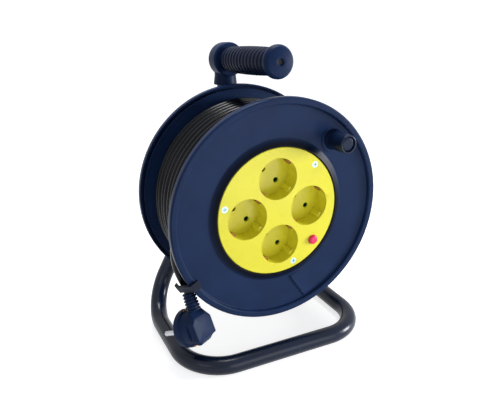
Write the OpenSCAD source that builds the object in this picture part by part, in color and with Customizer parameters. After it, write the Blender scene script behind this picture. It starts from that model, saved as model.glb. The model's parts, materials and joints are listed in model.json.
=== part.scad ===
// Extension cord reel: a cable drum with four earthed sockets, turning on a bent tube stand.
// Millimetres, +Z up. The drum turns about an axle along Y and its socket side faces -Y.
// Pieces are drawn from the point where the axle line meets the front rim's plane. placed() then
// stands the reel on z = 0 and centres it over the origin.

/* [Drum] */
// Diameter of both flanges
flange_d = 220; // [206:1:240]
// Distance between the outer faces of the two rims
drum_w = 103; // [96:1:112]
// Thickness of a flange's web
web_t = 3; // [2:0.25:3.5]
// Radial width of the bead round a flange
rim_w = 7; // [6:0.5:9]
// Depth of the bead along the axle
rim_t = 7; // [6:0.5:9]
// How far the web lies behind the rim, at the rim
web_set = 4; // [3:0.25:5]
// Further dish of the web at its hub ring
web_dish = 3; // [2:0.25:4]
// Outer diameter of the barrel that carries the cable
barrel_d = 124; // [123:0.5:130]
// Wall of the barrel
barrel_wall = 3; // [2:0.25:3.5]
// Width of the sloping ring round the socket plate
ring_w = 7.5; // [5:0.5:10]

/* [Cable] */
// Diameter of the cable
cable_d = 8; // [7:0.25:8.5]
// Gap between neighbouring turns
turn_gap = 0.5; // [0.45:0.05:1.5]
// Radius of the outer layer's centre line
wind_r = 93.8; // [86:0.1:94]
// Radius at which the free end leaves the winding
leave_r = 102; // [102:0.1:102.4]

/* [Socket plate] */
// Diameter of the socket plate
plate_d = 127.4; // [126:0.2:132]
// Thickness of the socket plate
plate_t = 3; // [2.5:0.25:3.5]
// Turn of the socket pattern about the axle
plate_turn = 3; // [0:1:10]
// Radius of the circle on which the four sockets lie
socket_pitch_r = 33.5; // [33:0.25:34]
// Radius of a socket's recess
recess_r = 20.4; // [19.5:0.1:20.8]
// Depth of a socket's recess
recess_depth = 17.5; // [15:0.5:19]
// Wall of a socket's recess
recess_wall = 1.5; // [1.2:0.1:1.8]
// Distance between the two contact holes of a socket
pin_pitch = 19; // [18.5:0.1:19.5]
// Diameter of a contact hole
pin_hole_d = 5.5; // [5:0.1:6]
// Direction of a socket's pair of contact holes
pin_angle = 135; // [125:1:145]
// Radius of the circle of plate screws
plate_screw_r = 57.7; // [57.2:0.1:58.4]
// Diameter of a plate screw's head
plate_screw_head_d = 6.4; // [5.6:0.2:7]
// Diameter of a small screw's shank
screw_d = 3.1; // [2.6:0.1:3.5]
// Radius at which the reset button lies
button_r = 53; // [52.5:0.5:54]
// Diameter of the reset button
button_d = 9.4; // [8:0.2:10]
// Height of the reset button above the plate
button_rise = 3.5; // [3:0.25:5]
// Travel of the reset button
button_travel = 2.5; // [1.5:0.25:2.5]

/* [Winding knob] */
// Distance of the knob from the axle line
knob_at_r = 87.8; // [84:0.2:90]
// Direction of the knob from the axle line
knob_angle = 48; // [20:1:70]
// Diameter of the knob at the flange
knob_base_d = 20.3; // [18:0.1:23]
// Diameter of the knob at its free end
knob_end_d = 17.5; // [16:0.1:20]
// Length of the knob
knob_len = 24.6; // [20:0.2:28]
// Diameter of the knob's pin
knob_pin_d = 6; // [5:0.25:7]

/* [Axle and bushes] */
// Diameter of the axle's journal
axle_d = 16; // [14:0.5:17]
// Diameter of the axle's threaded shank
shank_d = 12; // [10:0.5:12]
// Radial clearance of the bushes on the axle
bush_clear = 0.05; // [0.03:0.01:0.1]
// Wall of a bush
bush_wall = 2.4; // [2:0.1:3]
// Wall of the hub tube
hub_wall = 3.5; // [3:0.25:4.5]
// Running gap at each end of the drum
end_play = 0.2; // [0.1:0.05:0.3]

/* [Stand] */
// Outer diameter of the stand's tube
tube_d = 18; // [16:0.5:19]
// Wall of the stand's tube
tube_wall = 1.5; // [1:0.25:2.5]
// Height of the axle line above the floor
axle_h = 150; // [145:1:170]
// Half the distance between the centre lines of the two side runs
side_x = 99; // [94:0.5:101]
// Distance of the front run's centre line in front of the front rim
front_out = 16; // [14:1:30]
// Distance of the legs' plane behind the rear rim
leg_back = 24; // [24:1:30]
// Radius of the four bends, on the centre line
bend_r = 45; // [38:1:50]
// Height of the legs' upper ends above the axle line
leg_top = 8; // [5:1:10]
// Half the distance between the legs' upper ends
leg_top_x = 19.8; // [19.6:0.2:24]
// Height of the post's foot above the axle line
post_foot = 15; // [14:0.5:18]

/* [Bracket] */
// Wall of the bracket round a tube
bracket_wall = 3.5; // [3:0.25:4.5]
// Radius of the bracket's boss round the axle
boss_r = 22; // [20:0.5:25]
// Diameter of the bolts through the tubes
bolt_d = 5.8; // [5:0.2:6]

/* [Handle] */
// Height of the handle's rear end above the axle line
handle_z = 132.4; // [128:0.2:150]
// Distance from the post to the front face of the end cap
handle_len = 117.5; // [105:0.5:118]
// Rise of the handle towards its front end
handle_tilt = 3.25; // [0:0.25:6]
// Diameter of the rear collar
collar_d = 35; // [32:0.5:38]
// Diameter of the end cap
cap_d = 30; // [28:0.5:34]
// Diameter of the grip at its middle
grip_d = 27.5; // [24:0.5:30]
// Distance between the grip's ribs
rib_pitch = 6.8; // [5:0.1:9]
// Height of a rib
rib_h = 0.9; // [0.5:0.1:1.2]
// Diameter of the core under the grip
core_d = 14; // [12:0.5:16]

/* [Plug] */
// Diameter of the plug's disc
plug_d = 37.4; // [36:0.2:38]
// Depth of the plug from its face to its back
plug_depth = 22.6; // [21:0.2:27]
// Diameter of a plug pin
plug_pin_d = 4.8; // [4:0.1:4.8]
// Length of a plug pin
plug_pin_len = 19; // [17:0.5:19]
// Length of the ribbed boot
boot_len = 17; // [14:1:20]

/* [Hidden] */
$fn = 64;

plastic = [0.10, 0.12, 0.19];
paint = [0.07, 0.09, 0.18];
rubber = [0.08, 0.09, 0.10];
sheath = [0.06, 0.06, 0.08];
zinc = [0.75, 0.77, 0.80];
steel = [0.60, 0.61, 0.63];
brass = [0.80, 0.65, 0.30];
yellow = [0.90, 0.90, 0.30];
red = [0.90, 0.12, 0.25];
bakelite = [0.16, 0.14, 0.13];

eps = 0.1;                      // overshoot of a cut past a face
fit = 0.05;                     // clearance of pieces pressed or clamped together
skin = 0.3;                     // gap between curved faces of loose pieces

flange_r = flange_d / 2;
rim_in = flange_r - rim_w;
barrel_r = barrel_d / 2;
barrel_in = barrel_r - barrel_wall;
web_in_y = web_set + web_dish;          // web's face at the hub ring
web_back_y = web_in_y + web_t;          // back of the web there, where the barrel starts
tube_r = tube_d / 2;
cable_r = cable_d / 2;
axle_r = axle_d / 2;
shank_r = shank_d / 2;

plate_r = plate_d / 2;
seat_r = plate_r + 0.4;                 // bore of the hub ring round the plate
plate_y = web_in_y - plate_t;           // front face of the plate
recess_floor_y = plate_y + recess_depth;
floor_t = 2;                            // floor of a recess
floor_back_y = recess_floor_y + floor_t;
well_r = recess_r + recess_wall;
screw_angles = [45, 165, 285];          // plate screws
rear_screw_angles = [105, 225, 345];    // flange screws
lug_r = 4.6;                            // lugs and bosses round the screws
lug_step = 0.4;                         // a lug's faces lie this far inside the face beside it
pin_hole_r = pin_hole_d / 2;
socket_angles = [0, 90, 180, 270];
ledge_in = socket_pitch_r + well_r + 0.8;

strip_t = 0.8;                          // brass strip
strap_y = floor_back_y;                 // earth straps lie on the recess floors
ring_y = strap_y + strip_t;             // earth ring on the straps
carrier_y = ring_y + strip_t;           // contact carrier on the ring
carrier_t = 9;
carrier_back_y = carrier_y + carrier_t;
bar_t = 1;
bar_w = 5;
neutral_y = carrier_back_y + 4;         // the neutral bar stands clear of the live bar
sleeve_in = 2.45;
sleeve_out = 3.2;

button_rad = button_d / 2;
button_hole_r = button_rad + skin;
button_flange_r = button_hole_r + 1;
neck_r = button_flange_r + 1.9;         // collar on the plate round the button's flange
breaker_y = web_in_y + 1.2 + button_travel + 0.5;   // front of the breaker's body
breaker_u = [43, 57];
breaker_half = 9;
breaker_depth = 24;

bracket_y = drum_w + leg_back - tube_r - bracket_wall;      // bracket's front face
leg_y = drum_w + leg_back;                                  // plane of the legs and the post
bracket_back_y = leg_y + tube_r + bracket_wall;
shoulder_t = 3;
washer_t = 1.5;
shoulder_y = bracket_y - shoulder_t;
rear_washer_y = shoulder_y - washer_t;
bush_flange_t = 1.8;
hub_back_y = rear_washer_y - end_play - bush_flange_t;
hub_front_y = 56;
bush_len = 16;
front_flange_y = hub_front_y - bush_flange_t;
front_washer_y = front_flange_y - end_play - washer_t;
clip_t = 1.4;
groove_y = front_washer_y - clip_t;
axle_front_y = groove_y - 3;
bush_out = axle_r + bush_clear + bush_wall;
hub_in = bush_out + 0.02;
hub_out = hub_in + hub_wall;

rear_web_y = drum_w - web_back_y;               // inner face of the rear web, at the barrel
wind_front_y = web_back_y + cable_r + 0.4;
wind_rear_y = rear_web_y - cable_r - 0.4;
wind_pitch = cable_d + turn_gap;
lift_from = 0.068;                              // turns left when the cable starts to rise
rings = 24;                                     // rings in a turn
wind_steps = floor((wind_rear_y - wind_front_y) / wind_pitch * rings);
wind_turns = wind_steps / rings;
core_r = wind_r * cos(180 / rings) - cable_r;

knob_r = knob_base_d / 2;
knob_seat_y = 4.9;                              // flat boss under the knob
knob_base_y = knob_seat_y - skin;
knob_end_y = knob_base_y - knob_len;
knob_pin_r = knob_pin_d / 2;
knob_bore = knob_pin_r + 0.1;
knob_cup = 6;                                   // depth of the knob's end recess
pin_head_r = 4.8;                               // riveted head of the knob's pin
knob_web_y = web_set + web_dish * (rim_in - knob_at_r) / (rim_in - seat_r - ring_w);
pin_seat_y = knob_web_y + web_t - 0.6;          // flat spot behind the web under that head

front_y = -front_out - tube_r;
mid_y = (front_y + bracket_back_y) / 2;
floor_z = -axle_h;
run_z = floor_z + tube_r;
side_end_y = leg_y - bend_r;
leg_angle = atan2(leg_top - run_z, side_x - leg_top_x);
leg_dir = [-cos(leg_angle), 0, sin(leg_angle)];
bend_c = [side_x, side_end_y, run_z] + bend_r * leg_dir;
leg_start = bend_c + [0, bend_r, 0];
leg_len = (leg_top - leg_start[2]) / leg_dir[2];
function leg_x(z) = leg_start[0] + leg_dir[0] * (z - leg_start[2]) / leg_dir[2];
bolt_r = bolt_d / 2;
leg_bolt_z = -14;
post_bolt_z = 40;
arm_r = tube_r + 4;
bracket_low = -28;
bracket_high = 56;
screw_spots = [[-17, 30], [17, 30]];

collar_y = leg_y - 3;                           // middle of the handle's rear collar
collar_half = 9.5;
post_top = handle_z - 6;
grip_y0 = collar_half + 0.1;                    // along the handle from the collar's middle
cap_t = 9;
grip_len = handle_len - cap_t - collar_half - 0.2;
handle_pin_z = handle_z - 21.5;

plug_turn = [-23, 4.5, 33];
plug_face = 17;                                 // disc face and centre from the boot's top
plug_centre_z = -boot_len - 17;
disc_t = 6;
plug_body_r = plug_d / 2 - 1.7;
pin_shank_r = 2;                                // a pin's shank inside the plug

// Route of the cable's free end, from the winding to the boot.
tail = [
    [-102, 14.4, -8], [-102, 14.4, -16], [-102, 16.2, -28], [-100.3, 19, -40],
    [-97.2, 19.6, -51], [-94.2, 18, -59], [-92.1, 15.4, -64.8], [-91.3, 13.6, -69.4]
];

// ---- helpers -------------------------------------------------------------------------------

// Stands the reel on the floor and centres it.
module placed() translate([0, -mid_y, axle_h]) children();

// Solid turned about the axle line; a profile point is [radius, y].
module turned(profile) rotate([-90, 0, 0]) rotate_extrude($fn = 128) polygon(profile);

// Plate standing in an XZ plane, from y0 to y1; its outline is drawn as [x, z].
module slab(y0, y1) translate([0, y1, 0]) rotate([90, 0, 0]) linear_extrude(y1 - y0) children();

// Bar along Y.
module bar(r, y0, y1) translate([0, y0, 0]) rotate([-90, 0, 0]) cylinder(r = r, h = y1 - y0);

// Ring along Y.
module ring(r_in, r_out, y0, y1) difference() {
    bar(r_out, y0, y1);
    bar(r_in, y0 - eps, y1 + eps);
}

// Moves a piece to a point of an XZ plane given by radius and angle.
module at_polar(r, a) translate([r * cos(a), 0, r * sin(a)]) children();

// Turns a piece so that its +X points outwards at angle a.
module outwards(a) rotate([0, -a, 0]) children();

// Puts a piece at each socket, turned with the plate.
module at_sockets() rotate([0, -plate_turn, 0])
    for (a = socket_angles) at_polar(socket_pitch_r, a) children();

module at_plate() rotate([0, -plate_turn, 0]) children();

// Rounded corner of a profile: a quarter arc about c from angle a0 to a1.
function corner(c, r, a0, a1, n = 6) =
    [for (i = [0:n]) let (a = a0 + (a1 - a0) * i / n) c + r * [cos(a), sin(a)]];

function unit(v) = v / norm(v);
function smooth(t) = let (s = min(max(t, 0), 1)) s * s * (3 - 2 * s);

// Tube through the centres, each ring spanned by its own pair of vectors across the path.
module swept(centres, across, along, r, sides) {
    n = len(centres);
    points = [for (i = [0:n - 1]) for (k = [0:sides - 1]) let (a = 360 * k / sides)
        centres[i] + r * (cos(a) * across[i] + sin(a) * along[i])];
    walls = [for (i = [0:n - 2]) for (k = [0:sides - 1]) let (m = (k + 1) % sides)
        each [[i * sides + k, i * sides + m, (i + 1) * sides + m],
              [i * sides + k, (i + 1) * sides + m, (i + 1) * sides + k]]];
    start = [for (k = [1:sides - 2]) [0, k + 1, k]];
    end = [for (k = [1:sides - 2]) let (b = (n - 1) * sides) [b, b + k, b + k + 1]];
    polyhedron(points, concat(walls, start, end));
}

// Direction of a route at each of its points: the mean of the two runs that meet there.
function route_dirs(route) = let (n = len(route), runs = [for (i = [1:n - 1])
        unit(route[i] - route[i - 1])])
    [for (i = [0:n - 1]) unit(runs[max(i - 1, 0)] + runs[min(i, n - 2)])];

// The part of v that lies across d.
function across_of(v, d) = unit(v - (v * d) * d);

// A vector across each direction, carried from one to the next without twisting.
function carried(dirs, first) = [for (i = 0, v = across_of(first, dirs[0]); i < len(dirs);
    i = i + 1, v = i < len(dirs) ? across_of(v, dirs[i]) : v) v];

module routed(route, r, sides) {
    dirs = route_dirs(route);
    across = carried(dirs, [0, 1, 0]);
    swept(route, across, [for (i = [0:len(dirs) - 1]) cross(across[i], dirs[i])], r, sides);
}

// Pipe through stations of [point, direction], with a wall; its ends are open.
module pipe(stations, r, wall, sides) {
    n = len(stations);
    dirs = [for (s = stations) s[1]];
    across = carried(dirs, [1, 0, 0]);
    along = [for (i = [0:n - 1]) cross(dirs[i], across[i])];
    points = [for (q = [r, r - wall]) for (i = [0:n - 1]) for (k = [0:sides - 1])
        let (a = 360 * k / sides)
        stations[i][0] + q * (cos(a) * across[i] + sin(a) * along[i])];
    function at(layer, i, k) = (layer * n + i) * sides + k % sides;
    function quad(a, b, c, d) = [[a, b, c], [a, c, d]];
    outer = [for (i = [0:n - 2]) for (k = [0:sides - 1])
        each quad(at(0, i, k), at(0, i + 1, k), at(0, i + 1, k + 1), at(0, i, k + 1))];
    inner = [for (i = [0:n - 2]) for (k = [0:sides - 1])
        each quad(at(1, i, k), at(1, i, k + 1), at(1, i + 1, k + 1), at(1, i + 1, k))];
    ends = [for (k = [0:sides - 1]) each concat(
        quad(at(0, 0, k), at(0, 0, k + 1), at(1, 0, k + 1), at(1, 0, k)),
        quad(at(0, n - 1, k), at(1, n - 1, k), at(1, n - 1, k + 1), at(0, n - 1, k + 1)))];
    polyhedron(points, concat(outer, inner, ends));
}

// Cross-recessed screw along Y with its head's face at y = 0 and its shank towards +Y.
module screw(head_r, head_t, shank_rad, length, countersunk = true) difference() {
    turned([[0, 0], [head_r, 0], [countersunk ? shank_rad : head_r, head_t],
            [shank_rad, head_t], [shank_rad, length], [0, length]]);
    for (a = [0, 90]) rotate([0, a, 0])
        translate([-head_r * 0.55, -eps, -0.35]) cube([head_r * 1.1, 1.1 + eps, 0.7]);
}

// ---- stand ---------------------------------------------------------------------------------

module tube_section() difference() {
    circle(tube_r);
    circle(tube_r - tube_wall);
}

// Stations of a quarter bend about c, from c + u round to c + v.
function bend(c, u, v, steps = 8) = [for (i = [0:steps]) let (a = 90 * i / steps)
    [c + bend_r * (cos(a) * u + sin(a) * v), cos(a) * v - sin(a) * u]];

// Right half of the base: the front bend, the side run, the bend up and the leg's top.
half_path = concat(
    bend([side_x - bend_r, bend_r - front_out, run_z], [0, -1, 0], [1, 0, 0]),
    bend(bend_c, -leg_dir, [0, 1, 0]),
    [[leg_start + leg_len * leg_dir, leg_dir]]);
function mirrored(v) = [-v[0], v[1], v[2]];
base_path = concat(
    [for (i = [len(half_path) - 1:-1:0]) [mirrored(half_path[i][0]), -mirrored(half_path[i][1])]],
    half_path);

module at_tube_bolts() {
    for (s = [-1, 1]) translate([s * leg_x(leg_bolt_z), 0, leg_bolt_z]) children();
    translate([0, 0, post_bolt_z]) children();
}

module base_frame() color(paint) difference() {
    pipe(base_path, tube_r, tube_wall, 24);
    at_tube_bolts() bar(bolt_r + fit, leg_y - 2 * tube_r, leg_y + 2 * tube_r);
}

module handle_post() color(paint) difference() {
    translate([0, leg_y, post_foot]) linear_extrude(post_top - post_foot) tube_section();
    at_tube_bolts() bar(bolt_r + fit, leg_y - 2 * tube_r, leg_y + 2 * tube_r);
    translate([-collar_d, leg_y, handle_pin_z]) rotate([0, 90, 0])
        cylinder(r = 2 + fit, h = 2 * collar_d);
}

// Outline of the bracket: an arm along each leg, one along the post, and a boss at the axle.
module arm(foot, top) {
    reach = norm(top - foot);
    translate(foot) rotate(atan2(top[1] - foot[1], top[0] - foot[0])) {
        translate([0, -arm_r]) square([reach, 2 * arm_r]);
        circle(arm_r);
        translate([reach, 0]) circle(arm_r);
    }
}

module bracket_outline() {
    for (s = [-1, 1]) {
        arm([s * leg_x(bracket_low), bracket_low], [s * leg_x(leg_top), leg_top]);
        translate(screw_spots[0][0] * [s, 0] + [0, screw_spots[0][1]]) circle(6.5);
    }
    arm([0, leg_top], [0, bracket_high]);
    circle(boss_r);
    polygon([[-leg_x(bracket_low), bracket_low], [leg_x(bracket_low), bracket_low],
             [leg_x(leg_top), leg_top + 22], [-leg_x(leg_top), leg_top + 22]]);
}

// Room for the tubes, the axle and the fasteners.
module bracket_cuts() {
    leg_cut = leg_len + fit;
    for (s = [0, 1]) mirror([s, 0, 0]) translate(leg_start)
        rotate([0, leg_angle - 90, 0]) cylinder(r = tube_r + fit, h = leg_cut);
    translate([0, leg_y, post_foot - fit]) cylinder(r = tube_r + fit, h = 100);
    bar(shank_r + fit, bracket_y - eps, bracket_back_y + eps);
    at_tube_bolts() bar(bolt_r + fit, bracket_y - eps, bracket_back_y + eps);
    for (p = screw_spots) translate([p[0], 0, p[1]])
        bar(screw_d / 2 + fit, bracket_y + 2, bracket_back_y + eps);
}

bolt_head_r = 5;
bolt_head_t = 4;
nut_t = 4;
nut_well_r = 12.2;
axle_nut_t = 6.5;
axle_washer_y = leg_y + 4;

module bracket_front() color(plastic) difference() {
    slab(bracket_y, leg_y) bracket_outline();
    bracket_cuts();
    at_tube_bolts() translate([0, bracket_y - eps, 0]) rotate([-90, 0, 0])
        cylinder(r = 5.8, h = nut_t - 1 + eps, $fn = 6);
}

module bracket_rear() color(plastic) difference() {
    slab(leg_y, bracket_back_y) bracket_outline();
    bracket_cuts();
    at_tube_bolts() bar(bolt_head_r + fit, bracket_back_y - bolt_head_t + 1, bracket_back_y + eps);
    bar(nut_well_r, axle_washer_y, bracket_back_y + eps);
    for (p = screw_spots) translate([p[0], 0, p[1]])
        bar(3.3, bracket_back_y - 2.5, bracket_back_y + eps);
}

module bracket_bolts() color(zinc) at_tube_bolts() {
    bar(bolt_r, bracket_y + 0.4, bracket_back_y - bolt_head_t + 1);
    difference() {
        bar(bolt_head_r, bracket_back_y - bolt_head_t + 1, bracket_back_y - 0.2);
        translate([0, bracket_back_y - 1.6, 0]) rotate([-90, 0, 0]) cylinder(r = 2.6, h = 3, $fn = 6);
    }
}

module bracket_nuts() color(zinc) at_tube_bolts() difference() {
    translate([0, bracket_y + 0.2, 0]) rotate([-90, 0, 0])
        cylinder(r = 5.6, h = nut_t - 1.2, $fn = 6);
    bar(bolt_r + fit, bracket_y - eps, bracket_y + nut_t);
}

module bracket_screws() color(zinc) for (p = screw_spots)
    translate([p[0], bracket_back_y - 0.3, p[1]]) rotate([0, 0, 180])
        screw(3.2, 2.2, screw_d / 2, bracket_back_y - bracket_y - 3, false);

module axle() color(steel)
    turned([[0, axle_front_y], [axle_r - 1, axle_front_y], [axle_r, axle_front_y + 1],
            [axle_r, groove_y], [axle_r - 1, groove_y], [axle_r - 1, groove_y + clip_t],
            [axle_r, groove_y + clip_t], [axle_r, shoulder_y], [13, shoulder_y],
            [13, bracket_y], [shank_r, bracket_y], [shank_r, bracket_back_y - 1],
            [shank_r - 0.8, bracket_back_y - 0.2], [0, bracket_back_y - 0.2]]);

module axle_washer() color(zinc)
    ring(shank_r + 0.2, nut_well_r - 0.4, axle_washer_y, axle_washer_y + washer_t);

module axle_nut() color(zinc) difference() {
    translate([0, axle_washer_y + washer_t, 0]) rotate([-90, 0, 0])
        cylinder(r = shank_r * 1.73 + 0.01, h = axle_nut_t - 0.2, $fn = 6);
    bar(shank_r + fit, axle_washer_y, bracket_back_y + eps);
}

module retaining_ring() color(steel) difference() {
    ring(axle_r - 1 + fit, axle_r + 3.5, groove_y + fit, groove_y + clip_t);
    translate([-2.5, groove_y - eps, -axle_r - 5]) cube([5, clip_t + 2 * eps, 8]);
}

module front_washer() color(zinc)
    ring(axle_r + 0.1, hub_out, groove_y + clip_t, groove_y + clip_t + washer_t);

module rear_washer() color(zinc) ring(axle_r + 0.1, hub_out, rear_washer_y, shoulder_y);

// ---- handle --------------------------------------------------------------------------------

// The handle's own line starts in the collar's middle and runs forwards along +Z.
module along_handle() translate([0, collar_y, handle_z]) rotate([90 - handle_tilt, 0, 0]) children();

function collar_profile() = concat(
    [[0, -collar_half]],
    corner([collar_d / 2 - 4, -collar_half + 4], 4, -90, 0),
    corner([collar_d / 2 - 2, collar_half - 2], 2, 0, 90),
    [[0, collar_half]]);

module handle_core() color(plastic) difference() {
    union() {
        along_handle() rotate_extrude() polygon(collar_profile());
        along_handle() cylinder(r = core_d / 2, h = handle_len - 4.5);
        hull() {
            translate([0, leg_y, handle_z - 4]) cylinder(r = 12.4, h = 4, $fn = 48);
            translate([0, leg_y, handle_z - 26]) cylinder(r = 12, h = 2, $fn = 48);
        }
    }
    translate([0, leg_y, 0]) cylinder(r = tube_r + fit, h = post_top + fit);
    translate([-collar_d, leg_y, handle_pin_z]) rotate([0, 90, 0])
        cylinder(r = 2 + fit, h = 2 * collar_d);
    along_handle() translate([0, 0, handle_len - 30]) cylinder(r = 2, h = 40);
}

module handle_pin() color(zinc) translate([-11.6, leg_y, handle_pin_z]) rotate([0, 90, 0])
    cylinder(r = 2, h = 23.2);

// Barrel-shaped grip: a ribbed wall, thickest past its middle.
function grip_r(s) = grip_d / 2 - 1.1 - 1.6 * pow((s / grip_len - 0.45) / 0.55, 2);

module grip_sleeve() color(rubber) {
    count = floor((grip_len - 8) / rib_pitch);
    first = (grip_len - (count - 1) * rib_pitch) / 2;
    outer = [for (i = [0:count - 1]) let (s = first + i * rib_pitch)
        each [[grip_r(s - rib_pitch * 0.32), s - rib_pitch * 0.32],
              [grip_r(s) + rib_h, s - rib_pitch * 0.16],
              [grip_r(s) + rib_h, s + rib_pitch * 0.16],
              [grip_r(s + rib_pitch * 0.32), s + rib_pitch * 0.32]]];
    along_handle() translate([0, 0, grip_y0]) rotate_extrude()
        polygon(concat([[core_d / 2 + fit, 0], [grip_r(0), 0]], outer,
                       [[grip_r(grip_len), grip_len], [core_d / 2 + fit, grip_len]]));
}

module grip_cap() color(plastic) along_handle() translate([0, 0, grip_y0 + grip_len + 0.1])
    difference() {
        rotate_extrude() polygon(concat(
            [[0, 0], [cap_d / 2 - 2.5, 0]],
            corner([cap_d / 2 - 1.5, 1.5], 1.5, -90, 0),
            corner([cap_d / 2 - 3, cap_t - 4.2], 3, 0, 72),
            [[5, cap_t - 0.15], [0, cap_t]]));
        translate([0, 0, -eps]) cylinder(r = core_d / 2 + fit, h = 4.6 + eps);
        cylinder(r = 2, h = cap_t + 1);
        translate([0, 0, 5.9]) cylinder(r = 2.9, h = cap_t);
    }

module grip_screw() color(zinc) along_handle()
    translate([0, 0, handle_len - 28]) union() {
        cylinder(r = 1.9, h = grip_y0 + grip_len + 6 - handle_len + 28);
        translate([0, 0, grip_y0 + grip_len + 6 - handle_len + 28]) cylinder(r = 2.7, h = 1.6);
    }

// ---- drum ----------------------------------------------------------------------------------

// Half section of the web and bead, from the seat ring outwards; y grows towards the barrel.
function flange_outer() = concat(
    [[seat_r + ring_w, web_in_y], [rim_in, web_set]],
    [[rim_in, 1], [rim_in + 1, 0]],
    corner([flange_r - 1.5, 1.5], 1.5, -90, 0),
    [[flange_r, rim_t], [flange_r - 2.2, rim_t], [flange_r - 2.2, 2.5],
     [rim_in + 2.4, 2.5], [rim_in + 2.4, rim_t], [rim_in, web_set + web_t],
     [seat_r + ring_w, web_back_y]]);

module front_flange() color(plastic) difference() {
    union() {
        turned(concat(
            [[ledge_in, web_in_y], [seat_r, web_in_y], [seat_r, plate_y - 0.5],
             [seat_r + 0.8, plate_y - 0.5]],
            flange_outer(), [[ledge_in, web_back_y]]));
        at_plate() for (a = screw_angles) at_polar(plate_screw_r, a)
            bar(lug_r, web_in_y + lug_step, web_back_y - lug_step);
        at_polar(knob_at_r, knob_angle) bar(13, knob_seat_y, knob_web_y + 2);
    }
    at_plate() for (a = screw_angles) at_polar(plate_screw_r, a)
        bar(screw_d / 2 + 0.3, web_in_y - eps, web_back_y + eps);
    at_polar(knob_at_r, knob_angle) bar(knob_pin_r + fit, knob_seat_y - eps, web_back_y + eps);
    at_polar(knob_at_r, knob_angle) bar(13.6, knob_seat_y - 3, knob_seat_y);
    at_polar(knob_at_r, knob_angle) bar(pin_head_r + 0.4, pin_seat_y, web_back_y + eps);
    neck_cut();
}

// Room for the plate's collar round the button.
module neck_cut() at_plate() at_polar(button_r, -45)
    bar(neck_r + 0.2, web_in_y - eps, breaker_y + fit);

module rear_flange() color(plastic) difference() {
    union() {
        translate([0, drum_w, 0]) mirror([0, 1, 0]) turned(concat(
            [[hub_in, web_in_y]], flange_outer(), [[hub_in, web_back_y]]));
        ring(hub_in, hub_out, hub_front_y, hub_back_y);
        for (a = [0:60:300]) outwards(a)
            translate([hub_out - 0.5, rear_web_y + web_t - 0.5, -1.25])
                cube([barrel_in - hub_out, web_dish, 2.5]);
    }
    for (a = rear_screw_angles) at_polar(plate_screw_r, a)
        bar(screw_d / 2 + 0.3, rear_web_y - eps, rear_web_y + web_t + web_dish + 1);
}

module barrel() color(plastic) difference() {
    union() {
        ring(barrel_in, barrel_r, web_back_y, rear_web_y);
        intersection() {
            union() {
                at_plate() for (a = screw_angles) at_polar(plate_screw_r, a)
                    bar(lug_r - 0.4, web_back_y + lug_step, web_back_y + 22);
                for (a = rear_screw_angles) at_polar(plate_screw_r, a)
                    bar(lug_r - 0.4, rear_web_y - 20, rear_web_y - lug_step);
            }
            bar(barrel_r, web_back_y, rear_web_y);
        }
    }
    at_plate() for (a = screw_angles) at_polar(plate_screw_r, a)
        bar(screw_d / 2 + fit, web_back_y - eps, web_back_y + 20);
    for (a = rear_screw_angles) at_polar(plate_screw_r, a)
        bar(screw_d / 2 + fit, rear_web_y - 18, rear_web_y + eps);
    neck_cut();
    outwards(lead_angle) translate([0, lead_y, 0]) rotate([0, 90, 0])
        cylinder(r = gland_r + fit, h = barrel_r + 5);
}

module flange_screws() color(zinc) for (a = rear_screw_angles) at_polar(plate_screw_r, a)
    translate([0, rear_web_y + web_t + 2, 0]) rotate([0, 0, 180])
        screw(3.4, 2, screw_d / 2, 18, false);

module front_bush() color(brass) {
    ring(axle_r + bush_clear, bush_out, hub_front_y, hub_front_y + bush_len);
    ring(axle_r + bush_clear, hub_out - 0.5, front_flange_y, hub_front_y);
}

module rear_bush() color(brass) {
    ring(axle_r + bush_clear, bush_out, hub_back_y - bush_len, hub_back_y);
    ring(axle_r + bush_clear, hub_out - 0.5, hub_back_y, hub_back_y + bush_flange_t);
}

// ---- cable on the drum ---------------------------------------------------------------------

// The outer layer runs from the rear to the front. Its end rises above it and leaves at the left.
function wind_angle(i) = 180 - (wind_steps - i) * 360 / rings;
function wind_left(i) = (wind_steps - i) / rings;               // turns left to the end
function wind_rad(i) = wind_r
    + (leave_r - wind_r) * smooth(1 - wind_left(i) / lift_from);
function wind_y(i) = wind_front_y + wind_left(i) * wind_pitch;
function radial(a) = [cos(a), 0, sin(a)];
function wind_point(i) = wind_rad(i) * radial(wind_angle(i)) + [0, wind_y(i), 0];
function forwards(a) = [-sin(a), 0, cos(a)];

wind_first = wind_point(0) - cable_d * forwards(wind_angle(0));
wind_last = wind_point(wind_steps) + cable_d * forwards(180);
wind_points = concat([wind_first], [for (i = [0:wind_steps]) wind_point(i)], [wind_last]);
wind_across = concat([radial(wind_angle(0))], [for (i = [0:wind_steps]) radial(wind_angle(i))],
                     [radial(180)]);
wind_gap = min([for (i = [0:wind_steps - rings / 2]) for (j = [i + rings / 2:wind_steps])
    norm(wind_point(i) - wind_point(j))]) - cable_d;
echo(least_gap_between_turns = wind_gap, turns = wind_turns);

module cable_winding() color(sheath)
    swept(wind_points, [for (p = wind_points) [0, 1, 0]], wind_across, cable_r, 6);

// The layers under the outer one, with the step from which the outer layer's first turn starts.
module cable_core() color(sheath) {
    ring(barrel_r + skin, core_r, web_back_y + skin, rear_web_y - skin);
    outwards(wind_angle(0)) translate([core_r - 3, wind_y(0) - 3, -cable_d - 6])
        cube([wind_r - core_r + 6, 6, 6]);
}

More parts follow.
